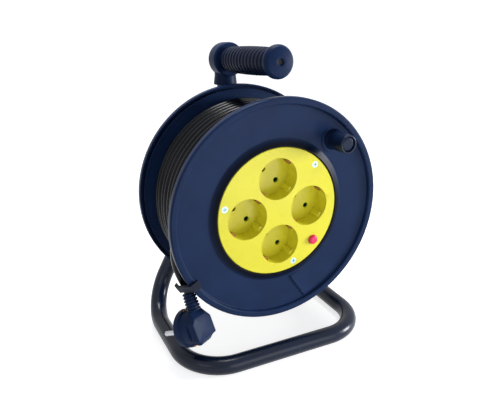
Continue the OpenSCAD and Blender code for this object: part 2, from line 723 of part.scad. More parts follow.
// A pad on the front rim, and a strap that runs out and back from it in front of the free end.
clip_angle = 211.8;
clip_w = 8.4;
strap_w = 7.6;
pad_t = 3;
module cable_clip() color(plastic) outwards(clip_angle) {
    translate([0, 0, -strap_w / 2]) linear_extrude(strap_w) polygon([
        [flange_r - 4, -pad_t], [flange_r - 1, -pad_t], [flange_r + 10, 12], [flange_r + 10, 16.6],
        [flange_r + 7.4, 18.4], [flange_r + 6.4, 17.6], [flange_r + 7.4, 15.4],
        [flange_r + 7.4, 13.2], [flange_r + 0.2, 3.2],
        [flange_r + 0.2, 0], [flange_r - 4, 0]]);
    translate([rim_in - 2.5, -pad_t, -clip_w / 2]) cube([rim_w + 0.5, pad_t, clip_w]);
}

lead_angle = 240;
lead_y = 60;
gland_r = 7;
lead_in = 36;                   // radius at which the inner lead's sheath ends

module cord_gland() color(plastic) outwards(lead_angle) translate([0, lead_y, 0]) difference() {
    union() {
        translate([barrel_in - 3, 0, 0]) rotate([0, 90, 0]) cylinder(r = gland_r, h = barrel_wall + 2.4);
        translate([barrel_in - 5, 0, 0]) rotate([0, 90, 0]) cylinder(r = gland_r + 2, h = 3);
    }
    translate([lead_in, 0, 0]) rotate([0, 90, 0]) cylinder(r = cable_r + fit, h = 40);
}

module inner_lead() color(sheath) outwards(lead_angle) translate([lead_in, lead_y, 0])
    rotate([0, 90, 0]) cylinder(r = cable_r, h = barrel_r - lead_in);

// ---- sockets -------------------------------------------------------------------------------

module pin_holes(y0, y1, r) for (s = [-1, 1]) at_polar(s * pin_pitch / 2, pin_angle) bar(r, y0, y1);

module socket_plate() color(yellow) difference() {
    union() {
        turned([[0, plate_y], [plate_r - 0.5, plate_y], [plate_r, plate_y + 0.5],
                [plate_r, web_in_y], [0, web_in_y]]);
        at_sockets() bar(well_r, plate_y + 1, floor_back_y);
        bar(5, web_in_y - 1, carrier_y);
        at_plate() at_polar(button_r, -45) ring(button_flange_r + 0.4, neck_r,
                                                web_in_y - 1, breaker_y);
    }
    at_sockets() difference() {
        bar(recess_r, plate_y - eps, recess_floor_y);
        for (a = [pin_angle, pin_angle + 180]) outwards(a)
            translate([recess_r - 2.2, plate_y + 3, -2.7]) cube([4, recess_depth, 5.4]);
    }
    at_sockets() pin_holes(recess_floor_y - eps, floor_back_y + eps, pin_hole_r);
    at_sockets() for (a = [pin_angle - 90, pin_angle + 90]) outwards(a)
        translate([recess_r - 1, web_in_y, -3.5]) cube([recess_wall + 2, 10, 7]);
    at_plate() for (a = screw_angles) at_polar(plate_screw_r, a) {
        bar(screw_d / 2 + 0.3, plate_y - eps, web_in_y + eps);
        turned([[0, plate_y - 0.01], [plate_screw_head_d / 2 + 0.1, plate_y - 0.01],
                [screw_d / 2 + 0.2, plate_y + 2.1], [0, plate_y + 2.1]]);
    }
    at_plate() at_polar(button_r, -45) bar(button_hole_r, plate_y - eps, web_in_y + eps);
    bar(1.5, web_in_y, carrier_y + eps);
}

module plate_screws() color(zinc) at_plate() for (a = screw_angles) at_polar(plate_screw_r, a)
    translate([0, plate_y + 0.1, 0]) screw(plate_screw_head_d / 2, 1.9, screw_d / 2, 24);

// A bent brass strap behind each recess, its two ends hooked back in through the recess wall.
strap_leg = well_r + 0.5;
clip_in = recess_r - 2.4;

module earth_clips() color(brass) at_sockets() outwards(pin_angle - 90)
    translate([0, 0, -3]) linear_extrude(6) {
        translate([-strap_leg - strip_t, strap_y]) square([2 * (strap_leg + strip_t), strip_t]);
        for (s = [0, 1]) mirror([s, 0]) {
            translate([strap_leg, web_in_y + 1]) square([strip_t, strap_y - web_in_y - 0.5]);
            polygon([[strap_leg + strip_t, web_in_y + 1], [strap_leg + strip_t, web_in_y + 1 + strip_t],
                     [clip_in + 1.5, web_in_y + 1 + strip_t], [clip_in + strip_t, web_in_y + 3.6],
                     [clip_in + 1.6, web_in_y + 6], [clip_in + 1, web_in_y + 6.4],
                     [clip_in, web_in_y + 3.6], [clip_in + 1, web_in_y + 1]]);
        }
    }

module earth_ring() color(brass) at_plate()
    ring(socket_pitch_r - 2, socket_pitch_r + 2, ring_y, ring_y + strip_t);

module sleeves(side, y1) at_sockets() at_polar(side * pin_pitch / 2, pin_angle) difference() {
    ring(sleeve_in, sleeve_out, floor_back_y, y1);
    translate([-0.4, floor_back_y - eps, 0]) cube([0.8, y1 - floor_back_y - 4, sleeve_out + 1]);
}

module live_sleeves() color(brass) sleeves(1, carrier_back_y);
module neutral_sleeves() color(brass) sleeves(-1, neutral_y);

module pole_bar(side, y0) at_plate() at_polar(side * pin_pitch / 2, pin_angle)
    ring(socket_pitch_r - bar_w / 2, socket_pitch_r + bar_w / 2, y0, y0 + bar_t);

module live_bar() color(brass) pole_bar(1, carrier_back_y);
module neutral_bar() color(brass) pole_bar(-1, neutral_y);

module contact_carrier() color(bakelite) difference() {
    bar(ledge_in - 3, carrier_y, carrier_back_y);
    at_sockets() pin_holes(carrier_y - eps, carrier_back_y + eps, sleeve_out + fit);
    at_plate() outwards(-45)
        translate([breaker_u[0] - 1, carrier_y - eps, -breaker_half - 1])
            cube([30, carrier_t + 2 * eps, 2 * breaker_half + 2]);
    bar(1.8, carrier_y - eps, carrier_back_y + eps);
}

module carrier_screw() color(zinc) translate([0, carrier_back_y + 1.8, 0]) rotate([0, 0, 180])
    screw(3.6, 1.8, 1.45, 14, false);

block_z = [-16, -6];
module terminal_block() color(bakelite) difference() {
    translate([-11, carrier_back_y, block_z[0]]) cube([22, 9, block_z[1] - block_z[0]]);
    for (x = [-7, 0, 7]) {
        translate([x, carrier_back_y + 4.5, block_z[0] - eps]) cylinder(r = wire_r + fit, h = 5);
        translate([x, 0, -11]) bar(1.6, carrier_back_y + 6, carrier_back_y + 10);
    }
}

wire_r = 1.3;
lead_end = lead_in * radial(lead_angle) + [0, lead_y, 0];
lead_side = radial(lead_angle + 90);
wire_pitch = 2.66;
module lead_wires() color(sheath) for (k = [-1:1]) let (side = k * wire_pitch * lead_side)
    routed([[7 * k, carrier_back_y + 4.5, block_z[1] - 5.5],
            [7 * k, carrier_back_y + 4.5, block_z[0] - 5],
            lead_end - 16 * radial(lead_angle) - [0, 10, 0] + 2 * side,
            lead_end - 6 * radial(lead_angle) + side, lead_end + side],
           wire_r, 8);

module thermal_breaker() color(bakelite) at_plate() outwards(-45) difference() {
    translate([breaker_u[0], breaker_y, -breaker_half])
        cube([breaker_u[1] - breaker_u[0], breaker_depth, 2 * breaker_half]);
    translate([button_r, 0, 0]) bar(2.8, breaker_y - eps, breaker_y + 14);
    translate([button_r, 0, 0]) bar(3.7, breaker_y - eps, breaker_y + 4);
}

module button_spring() color(steel) at_plate() at_polar(button_r, -45)
    ring(2.75, 3.5, web_in_y + 1.25, breaker_y + 3.95);

module reset_button() color(red) at_plate() at_polar(button_r, -45) turned(concat(
    [[0, plate_y - button_rise]],
    corner([button_rad - 1.6, plate_y - button_rise + 1.6], 1.6, -75, 0),
    [[button_rad, web_in_y + 0.2], [button_flange_r - 0.2, web_in_y + 0.2],
     [button_flange_r - 0.2, web_in_y + 1.2], [2.5, web_in_y + 1.2],
     [2.5, web_in_y + 9], [0, web_in_y + 9]]));

// ---- winding knob --------------------------------------------------------------------------

module at_knob() at_polar(knob_at_r, knob_angle) children();

module knob_pin() color(zinc) at_knob() turned([
    [0, knob_end_y + knob_cup], [5.5, knob_end_y + knob_cup], [5.5, knob_end_y + knob_cup + 1.5],
    [knob_pin_r, knob_end_y + knob_cup + 1.5], [knob_pin_r, pin_seat_y],
    [pin_head_r, pin_seat_y], [pin_head_r, pin_seat_y + 1.2], [0, pin_seat_y + 1.2]]);

module knob() color(plastic) at_knob() turned(concat(
    [[knob_bore, knob_end_y + knob_cup + 1.7], [6.2, knob_end_y + knob_cup + 1.7],
     [6.2, knob_end_y + 2.8], [knob_end_d / 2 - 1.8, knob_end_y + 2.8],
     [knob_end_d / 2 - 1.8, knob_end_y + 0.6], [knob_end_d / 2 - 1.2, knob_end_y]],
    corner([knob_end_d / 2 - 1, knob_end_y + 1], 1, -90, 0),
    [[knob_end_d / 2 + 0.2, knob_end_y + 3], [knob_r - 0.8, knob_base_y - 3],
     [knob_r, knob_base_y - 1.5], [knob_r, knob_base_y], [knob_bore, knob_base_y]]));

module knob_cap() color(plastic) at_knob() turned([
    [0, knob_end_y + 1.2], [knob_end_d / 2 - 2.6, knob_end_y + 1.2],
    [knob_end_d / 2 - 1.85, knob_end_y + 1.9], [knob_end_d / 2 - 1.85, knob_end_y + 2.8],
    [6.15, knob_end_y + 2.8], [6.15, knob_end_y + knob_cup - 1], [0, knob_end_y + knob_cup - 1]]);

// ---- free end of the cable and its plug ----------------------------------------------------

module cable_tail() color(sheath) routed(tail, cable_r, 8);

module at_plug() translate(tail[len(tail) - 1]) rotate(plug_turn) children();

boot_top_r = 6.2;
boot_low_r = 7;
module plug_boot() color(rubber) at_plug() rotate([180, 0, 0]) {
    ribs = 5;
    step = boot_len / (ribs + 0.5);
    rotate_extrude() polygon(concat([[0, 0]],
        [for (i = [0:ribs - 1]) let (r = boot_top_r + (boot_low_r - boot_top_r) * i / ribs)
            each [[r, i * step], [r, i * step + step * 0.55],
                  [r - 1, i * step + step * 0.65], [r - 1, i * step + step * 0.95]]],
        [[boot_low_r, ribs * step], [boot_low_r, boot_len], [0, boot_len]]));
}

module in_plug() at_plug() translate([0, 0, plug_centre_z]) children();

cover_face = [[-9, 11], [7, 10.6], [13.9, 6.2], [14.8, -11.5], [-12.4, -11.5], [-13.9, 6.4]];
cover_base = [[-9, 17], [8, 17], [15, 8], [15.5, -10], [9, -16], [-7, -16.5], [-14, -10], [-15, 8]];
plug_back = plug_face - plug_depth;
cover_y = plug_face - disc_t - 9;

module plug_body() color(plastic) in_plug() difference() {
    union() {
        bar(plug_d / 2, plug_face - disc_t, plug_face);
        bar(plug_body_r, cover_y, plug_face - disc_t);
    }
    for (s = [-1, 1]) {
        translate([s * pin_pitch / 2, 0, 0]) bar(pin_shank_r + fit, plug_face - 8, plug_face + eps);
        translate([-3.5, plug_face - disc_t - 2, s * (plug_d / 2 - 0.9) - 1])
            cube([7, disc_t + 2 + eps, 2]);
    }
}

module plug_cover() color(plastic) in_plug() hull() {
    slab(cover_y - 3, cover_y) polygon(cover_base);
    slab(plug_back, plug_back + 0.1) polygon(cover_face);
}

module plug_pins() color(zinc) in_plug() for (s = [-1, 1]) translate([s * pin_pitch / 2, 0, 0])
    turned([[0, plug_face - 7], [pin_shank_r, plug_face - 7],
            [pin_shank_r, plug_face + fit], [plug_pin_d / 2, plug_face + fit],
            [plug_pin_d / 2, plug_face + plug_pin_len - 1.2],
            [plug_pin_d / 2 - 1, plug_face + plug_pin_len], [0, plug_face + plug_pin_len]]);

module plug_earth() color(brass) in_plug() for (s = [-1, 1])
    translate([-3, plug_face - disc_t - 1.5, s * (plug_d / 2 - 0.9) - 0.7])
        cube([6, disc_t + 1.2, 1.4]);

// ---- the nodes -----------------------------------------------------------------------------

placed() base_frame();
placed() handle_post();
placed() bracket_front();
placed() bracket_rear();
placed() bracket_bolts();
placed() bracket_nuts();
placed() bracket_screws();
placed() axle();
placed() axle_washer();
placed() axle_nut();
placed() retaining_ring();
placed() front_washer();
placed() rear_washer();
placed() handle_core();
placed() handle_pin();
placed() grip_sleeve();
placed() grip_cap();
placed() grip_screw();
placed() front_flange();
placed() rear_flange();
placed() barrel();
placed() cable_core();
placed() cable_winding();
placed() flange_screws();
placed() front_bush();
placed() rear_bush();
placed() cable_clip();
placed() socket_plate();
placed() plate_screws();
placed() earth_clips();
placed() earth_ring();
placed() live_sleeves();
placed() neutral_sleeves();
placed() live_bar();
placed() neutral_bar();
placed() contact_carrier();
placed() carrier_screw();
placed() terminal_block();
placed() thermal_breaker();
placed() button_spring();
placed() cord_gland();
placed() inner_lead();
placed() lead_wires();
placed() knob_pin();
placed() knob();
placed() knob_cap();
placed() reset_button();
placed() cable_tail();
placed() plug_boot();
placed() plug_body();
placed() plug_cover();
placed() plug_pins();
placed() plug_earth();
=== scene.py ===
# %% [markdown]
# # A cable reel on its stand
#
# A wound drum turns on a bent tube stand. Its face holds four earthed sockets, and the cable's free
# end hangs from the rim with its plug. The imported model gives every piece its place, so this script
# only dresses it: rounder surfaces, real cable turns, finishes, light and a camera.

# %% Load the frame
import json
import math
import bpy
import bmesh
import numpy as np
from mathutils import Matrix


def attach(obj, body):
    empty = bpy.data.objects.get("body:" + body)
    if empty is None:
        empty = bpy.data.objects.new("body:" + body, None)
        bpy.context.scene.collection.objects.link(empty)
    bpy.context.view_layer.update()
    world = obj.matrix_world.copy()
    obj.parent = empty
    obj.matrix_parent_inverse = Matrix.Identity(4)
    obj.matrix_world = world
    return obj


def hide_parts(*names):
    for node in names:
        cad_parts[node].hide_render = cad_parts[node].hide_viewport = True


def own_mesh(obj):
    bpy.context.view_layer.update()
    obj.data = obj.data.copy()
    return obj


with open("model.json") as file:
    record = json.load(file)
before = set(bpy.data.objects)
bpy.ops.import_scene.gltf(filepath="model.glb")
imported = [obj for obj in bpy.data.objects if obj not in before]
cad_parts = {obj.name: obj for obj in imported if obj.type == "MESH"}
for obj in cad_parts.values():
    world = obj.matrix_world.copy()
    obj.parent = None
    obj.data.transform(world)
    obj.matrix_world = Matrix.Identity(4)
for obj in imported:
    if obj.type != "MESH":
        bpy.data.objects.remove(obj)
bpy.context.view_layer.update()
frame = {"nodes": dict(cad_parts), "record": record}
nodes = frame["nodes"]

# %% [markdown]
# ## Camera
#
# The camera comes first. The cable's route was measured against what it sees. A long lens far away
# would flatten the reel, and a wide one close by would make it bulge. A lens of moderate length a
# little above the axle keeps the flanges close to true ellipses.

# %% Camera
scene = bpy.context.scene
camera = bpy.data.objects.new("camera", bpy.data.cameras.new("camera"))
scene.collection.objects.link(camera)
EYE = (-0.2368, -0.46705, 0.3326)
TILT, PAN, LENS_MM = 69.44, -26.14, 38.76
camera.location = EYE
camera.rotation_euler = [math.radians(a) for a in (TILT, 0, PAN)]
camera.data.lens = LENS_MM
scene.camera = camera
print("camera", tuple(camera.location))

# %% [markdown]
# ## Surfaces from formulas
#
# Nearly every piece of a reel is either turned, as on a lathe, or bent from a round rod. Blender
# could spin or bevel them from a few control points, but a formula puts each point where the
# drawing wants it. So a piece is a grid of points, computed as whole arrays: a profile carried
# round a line, or a ring carried along a route. Lengths are in millimetres from the point where the
# axle line meets the plane of the front rim, and `placed` moves them to where the reel stands.

# %% Place and direction
TURN = 2 * math.pi
AXLE = (0, 1, 0)
RIM_Y, AXLE_Z = -57.25, 150.0


def placed(points):
    """Axle-line millimetres to metres on the floor: (x, y + RIM_Y, z + AXLE_Z) / 1000."""
    return (np.asarray(points, float) + [0, RIM_Y, AXLE_Z]) / 1000


def unit(v):
    """v over its length, along the last axis."""
    v = np.asarray(v, float)
    return v / np.linalg.norm(v, axis=-1, keepdims=True)


print("axle at the front rim", placed([0, 0, 0]))

# %% Grids to meshes
SAME_POINT, NO_LENGTH = 2e-6, 1e-7


def made(name, mesh, sharp):
    """Merges points at one place, turns faces outwards and shades smooth up to `sharp` degrees."""
    work = bmesh.new()
    work.from_mesh(mesh)
    bmesh.ops.remove_doubles(work, verts=work.verts, dist=SAME_POINT)
    bmesh.ops.dissolve_degenerate(work, edges=work.edges, dist=NO_LENGTH)
    bmesh.ops.recalc_face_normals(work, faces=work.faces)
    work.to_mesh(mesh)
    work.free()
    mesh.shade_smooth()
    mesh.set_sharp_from_angle(angle=math.radians(sharp))
    piece = bpy.data.objects.new(name, mesh)
    scene.collection.objects.link(piece)
    return piece


def surface(name, *grids, sharp=35, closed=True):
    """Quads over each grid[i, j]. j runs round and closes, and so does i unless closed is False."""
    points, quads, base = [], [], 0
    for grid in grids:
        rows, cols = grid.shape[:2]
        i = np.arange(rows if closed else rows - 1)[:, None]
        j = np.arange(cols)[None, :]
        k, m = (i + 1) % rows, (j + 1) % cols
        corners = np.stack([i * cols + j, i * cols + m, k * cols + m, k * cols + j], -1)
        points.append(placed(grid.reshape(-1, 3)))
        quads.append(base + corners.reshape(-1, 4))
        base += rows * cols
    mesh = bpy.data.meshes.new(name)
    mesh.from_pydata(np.concatenate(points).tolist(), [], np.concatenate(quads).tolist())
    return made(name, mesh, sharp)


print("points closer than", SAME_POINT, "m become one")


# %% Rounded corners
def rounded(corners, cut, steps=5, ends=False):
    """Corner P becomes P + cut (1-s)^2 u + cut s^2 v for s from 0 to 1, where u and v point to its
    neighbours. cut is at most 0.45 of the shorter side. With ends, the first and last stay."""
    p = np.asarray(corners, float)
    back, ahead = np.roll(p, 1, 0) - p, np.roll(p, -1, 0) - p
    reach = np.minimum(np.linalg.norm(back, axis=1), np.linalg.norm(ahead, axis=1))
    cut = np.minimum(cut, 0.45 * reach)
    if ends:
        cut[[0, -1]] = 0
    s = np.linspace(0, 1, steps)[None, :, None]
    curve = p[:, None] + cut[:, None, None] * ((1 - s) ** 2 * unit(back)[:, None]
                                               + s ** 2 * unit(ahead)[:, None])
    return curve.reshape(-1, p.shape[1])


print("a rounded square has", len(rounded([(0, 0), (9, 0), (9, 9), (0, 9)], 1)), "points")

# %% [markdown]
# The lathe needs two directions square to its line, and the pipe needs one that stays square to its
# route. A fixed direction across the whole route does that without twisting, because no route here
# turns into it.


# %% Lathe and pipe
def turned(profile, origin=(0, 0, 0), axis=AXLE, sides=96):
    """Profile points (r, s) about a line: origin + s axis + r (cos t A + sin t B), with A and B
    square to the line and to each other."""
    r, s = np.asarray(profile, float).T[:, :, None, None]
    axis = unit(axis)
    a = unit(np.cross(axis, (0.0, 0.0, 1.0) if abs(axis[2]) < 0.9 else (0.0, 1.0, 0.0)))
    b = np.cross(axis, a)
    t = np.linspace(0, TURN, sides, endpoint=False)[None, :, None]
    return np.asarray(origin) + s * axis + r * (np.cos(t) * a + np.sin(t) * b)


def drawn(path, radius, across, sides=20):
    """Ring of radius about each point of a route: P + r (cos t A + sin t B), where A is `across`
    made square to the route and B = A x direction. Each end closes on its middle."""
    path = np.asarray(path, float)
    way = unit(np.gradient(path, axis=0))
    across = np.broadcast_to(np.asarray(across, float), path.shape)
    a = unit(across - (across * way).sum(1, keepdims=True) * way)
    b = np.cross(a, way)
    t = np.linspace(0, TURN, sides, endpoint=False)[None, :, None]
    grid = path[:, None] + radius * (np.cos(t) * a[:, None] + np.sin(t) * b[:, None])
    caps = [np.broadcast_to(path[k], (1, sides, 3)) for k in (0, -1)]
    return np.concatenate([caps[0], grid, caps[1]])


print("a lathe's grid of 3 points is", turned([(0, 0), (1, 0), (1, 1)]).shape)

# %% [markdown]
# ## Finishes
#
# Moulded plastic, enamel, rubber and plated metal differ in three ways: how even the colour is, how
# rough the surface is, and what fine relief it has. Painted pictures could show that, but noise on
# Object coordinates has no seams and keeps its scale on every piece, so one builder mixes all
# finishes from it. Values that are the same all over are set on the shader itself.


# %% Shader nodes
def added(tree, kind, operation=None, **values):
    """New shader node of a kind, with values set on its named inputs (_ stands for a space)."""
    node = tree.nodes.new("ShaderNode" + kind)
    if operation:
        node.operation = operation
    for key, value in values.items():
        node.inputs[key.replace("_", " ")].default_value = value
    return node


print("node builder ready")


# %% Painted shade near the axle
def painted_shade_near_axle(tree, place, colour, ring):
    """Painted shade: colour times a factor that rises from 0.12 at ring[0] mm from the axle line to 1
    at ring[1] mm."""
    flat = added(tree, "VectorMath", "MULTIPLY_ADD")
    flat.inputs[1].default_value = (1, 0, 1)
    flat.inputs[2].default_value = (0, 0, -AXLE_Z / 1000)
    away = added(tree, "VectorMath", "LENGTH")
    fade = added(tree, "MapRange", From_Min=ring[0] / 1000, From_Max=ring[1] / 1000, To_Min=0.12)
    fade.interpolation_type = "SMOOTHSTEP"
    dark = added(tree, "VectorMath", "SCALE")
    tree.links.new(place.outputs["Object"], flat.inputs[0])
    tree.links.new(flat.outputs["Vector"], away.inputs[0])
    tree.links.new(away.outputs["Value"], fade.inputs["Value"])
    tree.links.new(colour, dark.inputs[0])
    tree.links.new(fade.outputs["Result"], dark.inputs["Scale"])
    return dark.outputs["Vector"]


print("the axle line is at height", AXLE_Z / 1000)


# %% One builder for all finishes
def finish(name, colour, rough, shade=0.12, metal=0.0, coat=0.0, grain=0.4, relief=0.03, wear=0.1,
           blotch=25.0, gloss=0.15, ring=None):
    """colour varies by +-shade in patches `blotch` mm wide, and roughness by +-wear in smaller ones.
    relief (mm) has a grain in mm. gloss is the strength of the mirror-like part. ring paints shade
    near the axle line by darkening the colour there."""
    material = bpy.data.materials.new(name)
    material.use_nodes = True
    tree = material.node_tree
    shader = tree.nodes["Principled BSDF"]
    for key, value in {"Metallic": metal, "Coat Weight": coat, "Coat Roughness": 0.08,
                       "Specular IOR Level": gloss}.items():
        shader.inputs[key].default_value = value
    place = added(tree, "TexCoord")

    def noise(size_mm, detail):
        node = added(tree, "TexNoise", Scale=1000 / size_mm, Detail=detail)
        tree.links.new(place.outputs["Object"], node.inputs["Vector"])
        return node.outputs["Fac"]

    ramp = tree.nodes.new("ShaderNodeValToRGB")
    low, high = ramp.color_ramp.elements
    low.position, high.position = 0.3, 0.7
    low.color = [c * (1 - shade) for c in colour] + [1]
    high.color = [min(1, c * (1 + shade)) for c in colour] + [1]
    tree.links.new(noise(blotch, 3), ramp.inputs["Fac"])
    hue = ramp.outputs["Color"]
    # ring paints shade: the colour is darkened near the axle line.
    if ring:
        hue = painted_shade_near_axle(tree, place, hue, ring)
    tree.links.new(hue, shader.inputs["Base Color"])
    spread = added(tree, "MapRange", To_Min=rough * (1 - wear), To_Max=min(1, rough * (1 + wear)))
    tree.links.new(noise(blotch / 5, 4), spread.inputs["Value"])
    tree.links.new(spread.outputs["Result"], shader.inputs["Roughness"])
    bump = added(tree, "Bump", Strength=1.0, Distance=relief / 1000)
    tree.links.new(noise(grain, 2), bump.inputs["Height"])
    tree.links.new(bump.outputs["Normal"], shader.inputs["Normal"])
    return material


print("finish builder ready")

# %% [markdown]
# Each slot of the model gets one finish. The drum, the plug and the handle are the same navy
# plastic in three grades of gloss, the tube is enamelled, and the cable is almost black. Metals are
# plated or turned, so they stay a little rough.

# %% Finish of each slot
NAVY = (0.0075, 0.020, 0.064)
finishes = {
    "drum_plastic": finish("navy_satin_plastic", NAVY, 0.36, grain=0.5, relief=0.02, gloss=0.08),
    "bracket_plastic": finish("bracket_plastic", (0.009, 0.014, 0.036), 0.5, grain=0.6,
                              relief=0.03),
    "tube_paint": finish("navy_gloss_enamel", (0.003, 0.008, 0.025), 0.26, coat=0.08, grain=3.0,
                         relief=0.02, gloss=0.2),
    "handle_plastic": finish("handle_plastic", (0.005, 0.016, 0.056), 0.42, grain=0.5, relief=0.03,
                             gloss=0.08),
    "grip_rubber": finish("ribbed_black_rubber", (0.003, 0.0075, 0.026), 0.5, grain=0.35,
                          relief=0.05, gloss=0.09),
    "knob_plastic": finish("knob_plastic", (0.004, 0.011, 0.036), 0.32, grain=0.6, relief=0.015),
    "clip_plastic": finish("clip_plastic", (0.007, 0.011, 0.026), 0.4, grain=0.5, relief=0.02),
    "cable_sheath": finish("black_cable_sheath", (0.0014, 0.0019, 0.004), 0.22, grain=0.8,
                           relief=0.02, gloss=0.12),
    "plug_rubber": finish("navy_plug_rubber", (0.006, 0.017, 0.056), 0.45, grain=0.5, relief=0.03,
                          gloss=0.09),
    "plate_yellow": finish("yellow_gloss_plastic", (0.70, 0.65, 0.032), 0.28, shade=0.03,
                           grain=1.2, relief=0.01, coat=0.05, gloss=0.3),
    "button_red": finish("red_gloss_plastic", (0.78, 0.02, 0.11), 0.25, shade=0.05, grain=1.0,
                         relief=0.01, coat=0.2, gloss=0.3),
    "zinc": finish("zinc_plate", (0.40, 0.56, 0.62), 0.42, metal=1.0, grain=0.25, relief=0.01),
    "axle_steel": finish("turned_steel", (0.55, 0.56, 0.58), 0.28, metal=1.0, grain=0.2,
                         relief=0.01),
    "brass": finish("drawn_brass", (0.50, 0.33, 0.12), 0.35, metal=1.0, grain=0.3, relief=0.01),
    "pin_nickel": finish("nickel_plate", (0.42, 0.43, 0.46), 0.3, metal=1.0, grain=0.5,
                         relief=0.004),
    "insulator": finish("moulded_insulator", (0.012, 0.014, 0.008), 0.55, grain=0.4, relief=0.03),
    "wire_insulation": finish("wire_insulation", (0.30, 0.15, 0.06), 0.35, grain=0.6, relief=0.01),
}
for part in frame["record"]["subparts"]:
    for place in nodes[part["node"]].material_slots:
        place.link = "OBJECT"
        place.material = finishes[part["material_slot"]]
print("finishes", len(finishes))

# %% [markdown]
# A few pieces differ from the others in their slot. The front flange has painted shade round the
# sockets, the screw in the grip is blackened, and the contact strips and sleeves have tarnished. Each
# gets a finish of its own.

# %% Finishes of single pieces
# Painted shade round the sockets: the front flange's colour is darkened from 74 mm inwards to 66 mm
# from the axle line.
PAINTED_SHADE_RING = (66.0, 74.0)
front_plastic_painted_shade = finish("navy_front_plastic_painted_shade", NAVY, 0.36, grain=0.5, relief=0.02, gloss=0.08,
                       ring=PAINTED_SHADE_RING)
black_screw = finish("blackened_screw", (0.01, 0.01, 0.012), 0.5, grain=0.3, relief=0.01)
brown_strip = finish("browned_strip", (0.32, 0.15, 0.03), 0.45, metal=0.35, grain=0.3, relief=0.02)
green_sleeve = finish("tarnished_sleeve", (0.01, 0.10, 0.06), 0.4, metal=0.2, grain=0.3,
                      relief=0.02)
for node, own in {"grip_screw": black_screw, "earth_clips": brown_strip, "plug_earth": brown_strip,
                  "live_sleeves": green_sleeve, "neutral_sleeves": green_sleeve}.items():
    nodes[node].material_slots[0].material = own
    print(node, own.name)

# %% [markdown]
# ## Putting a piece in its place
#
# Every new surface rides on the body that carries it, names the slot it takes its finish from, and
# says which solid of the model it stands for. Three calls for each piece are easily forgotten, so
# one function makes them all.


# %% Dress a body
def dressed(piece, body, slot, *solids):
    """Gives the piece its finish, lets it ride on the body and hides the solids it stands for."""
    piece.data.materials.append(finishes[slot])
    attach(piece, body)
    if solids:
        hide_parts(*solids)
    print(piece.name, "faces", len(piece.data.polygons), "on", body)
    return piece


# %% [markdown]
# ## Free end of the cable
#
# The cable leaves the winding at the left, bends forwards and down through the clip on the rim, and
# enters the plug's boot. A Curve object could carry it, but a mesh is merged like every other piece.
# Its route is the model's own list of points, smoothed by a cubic through them, and a ring is drawn
# along it.

# %% Route of the free end
TAIL = np.array([
    [-102, 14.4, -8], [-102, 14.4, -16], [-102, 16.2, -28], [-100.3, 19, -40],
    [-97.2, 19.6, -51], [-94.2, 18, -59], [-92.1, 15.4, -64.8], [-91.3, 13.6, -69.4]])
CABLE_R = 4.0


def curved(points, per_run=6):
    """Catmull-Rom: between P1 and P2 the cubic with slopes (P2 - P0) / 2 and (P3 - P1) / 2."""
    p = np.concatenate([[2 * points[0] - points[1]], points, [2 * points[-1] - points[-2]]])
    t = np.linspace(0, 1, per_run, endpoint=False)[None, :, None]
    p0, p1, p2, p3 = (p[k:len(p) - 3 + k, None] for k in range(4))
    run = 0.5 * (2 * p1 + (p2 - p0) * t + (2 * p0 - 5 * p1 + 4 * p2 - p3) * t ** 2
                 + (3 * p1 - p0 - 3 * p2 + p3) * t ** 3)
    return np.concatenate([run.reshape(-1, 3), points[-1:]])


tail_path = curved(TAIL)
print("route points", len(tail_path))

# %% Free end
tail = dressed(surface("free_cable", drawn(tail_path, CABLE_R, AXLE), closed=False),
               "stand", "cable_sheath", "cable_tail")

# %% [markdown]
# ## Plug
#
# The plug hangs from the boot, turned a little from the floor's axes. Its body is a round disc
# with a stepped back, its cover rises from a wide outline to a small flat face, and its boot is a
# row of ribs that lets the cable bend. Points in their turned place would be hard to read, so all
# pieces are worked out upright and then turned together.

# %% How the plug hangs
BOOT_TOP = TAIL[-1]
TILT_X, LEAN_Y, SWING_Z = np.radians([-23, 4.5, 33])


def spun(angle, axis):
    """Turn by angle about x, y or z (0, 1, 2): c and -s, s and c in the two other rows."""
    c, s = math.cos(angle), math.sin(angle)
    matrix = np.eye(3)
    one, two = (axis + 1) % 3, (axis + 2) % 3
    matrix[one, one], matrix[one, two], matrix[two, one], matrix[two, two] = c, -s, s, c
    return matrix


PLUG_TURN = spun(SWING_Z, 2) @ spun(LEAN_Y, 1) @ spun(TILT_X, 0)


def hung(grid):
    """Upright plug coordinates to the reel's: turned by the three angles, then moved to the
    boot's top."""
    return BOOT_TOP + np.asarray(grid) @ PLUG_TURN.T


middle = np.array([0, 0, -34.0])
print("plug hangs at", placed(hung(middle)).round(4))


# %% Plug cover
def lofted(outlines, depths):
    """Grid through outlines (x, z) at depths y, closed to the middle at both ends."""
    rows = [np.insert(o, 1, y, axis=1) for o, y in zip(outlines, depths)]
    ends = [np.broadcast_to(rows[k].mean(0), rows[0].shape) for k in (0, -1)]
    return np.stack([ends[0], *rows, ends[1]])


BASE = [(-9, 17), (8, 17), (15, 8), (15.5, -10), (9, -16), (-7, -16.5), (-14, -10), (-15, 8)]
TOP = [(-9, 11), (7, 10.6), (13.9, 6.2), (14.8, -11.5), (9, -11.5), (-7, -11.5), (-12.4, -11.5),
       (-13.9, 6.4)]
low, high = rounded(BASE, 1.2, 4), rounded(TOP, 1.0, 4)
steps = [(low * 0.985, 2.0), (low, 1.6), (low, -0.8), (0.95 * low + 0.05 * high, -1.4),
         (0.1 * low + 0.9 * high, -5.0), (0.985 * high, -5.45), (0.95 * high, -5.6)]
dressed(surface("plug_back", hung(lofted(*zip(*steps)) + middle), closed=False, sharp=28),
        "stand", "plug_rubber", "plug_cover")

# %% Boot and disc
def smooth(t):
    """3 t^2 - 2 t^3 between 0 and 1."""
    t = np.clip(t, 0, 1)
    return t * t * (3 - 2 * t)


